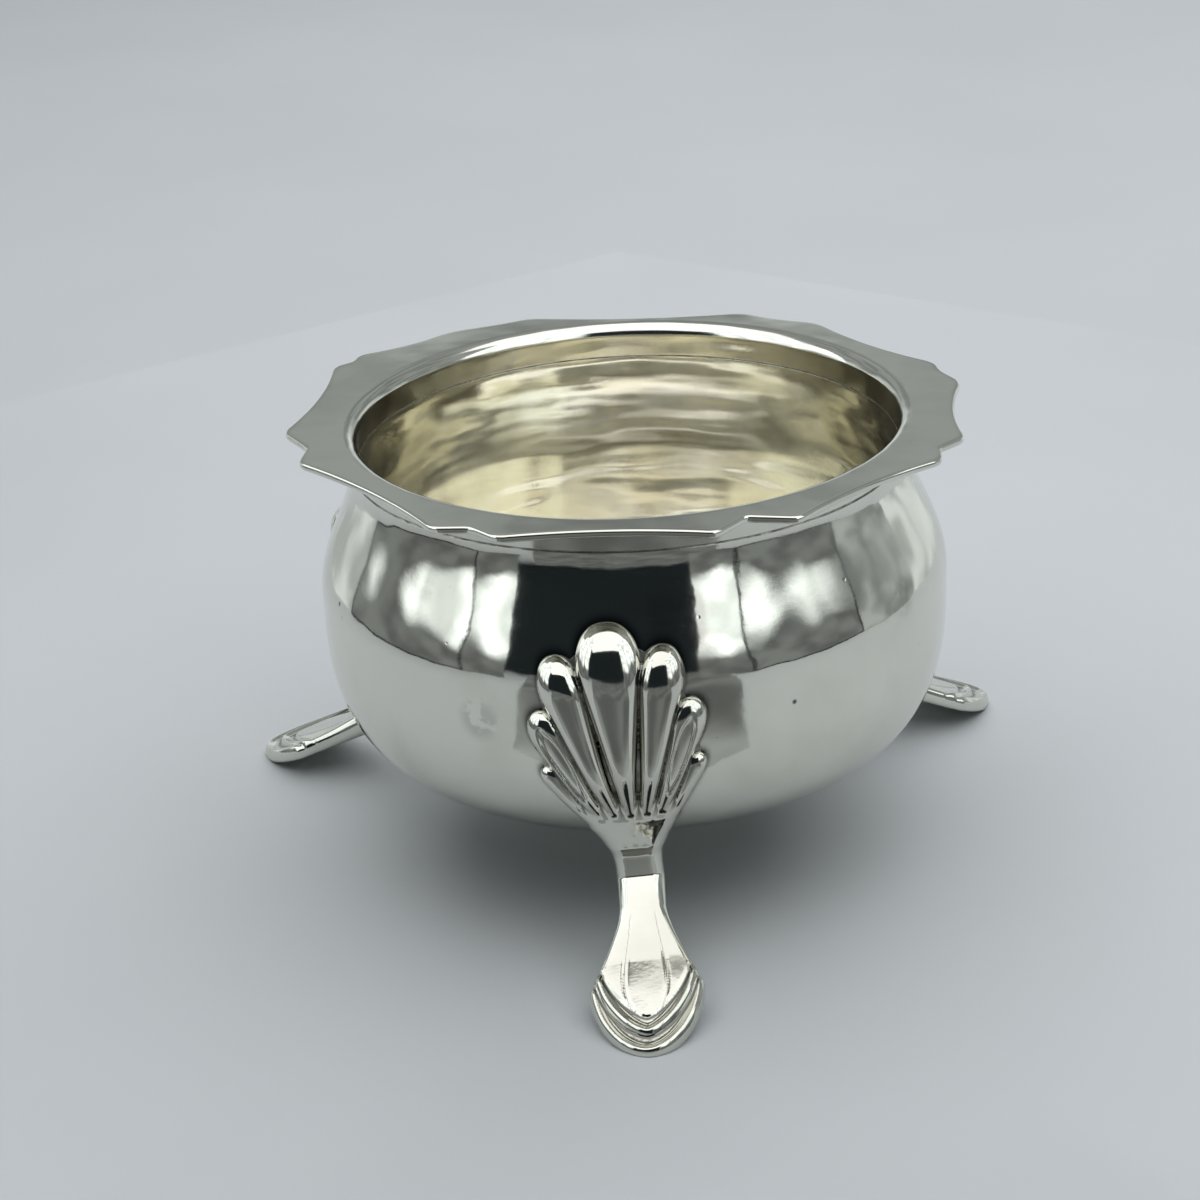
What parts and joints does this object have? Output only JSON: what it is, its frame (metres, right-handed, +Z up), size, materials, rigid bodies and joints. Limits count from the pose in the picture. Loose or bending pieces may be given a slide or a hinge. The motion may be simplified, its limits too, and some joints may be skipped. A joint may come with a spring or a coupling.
{
  "type": "salt cellar",
  "caption": "Open salt cellar in polished silver: a bellied cauldron bowl with a flat notched border on shell-kneed cast legs with splayed ribbed feet.",
  "frame": {"origin": "on the table, in the middle of the part's footprint; the axis of the bowl stands 1.4 mm to the right of it and 7.5 mm behind it", "axes": "+Z up, parallel to the axis of the bowl, -Y towards the front leg, +X to the right of someone facing it"},
  "size_m": [0.077, 0.0754, 0.0438],
  "materials": {
    "silver_bowl": "spun silver, polished outside, worn gilding inside",
    "silver_border": "polished silver sheet with fine wear",
    "cast_silver": "cast silver, polished, darker in the grooves",
    "silver_solder": "hard silver solder, slightly grey"
  },
  "bodies": {
    "root": {"bowl": "silver_bowl", "rim_border": "silver_border", "rim_solder": "silver_solder", "leg_front": "cast_silver", "leg_left": "cast_silver", "leg_right": "cast_silver", "knee_solder_front": "silver_solder", "knee_solder_left": "silver_solder", "knee_solder_right": "silver_solder"}
  },
  "joints": []
}
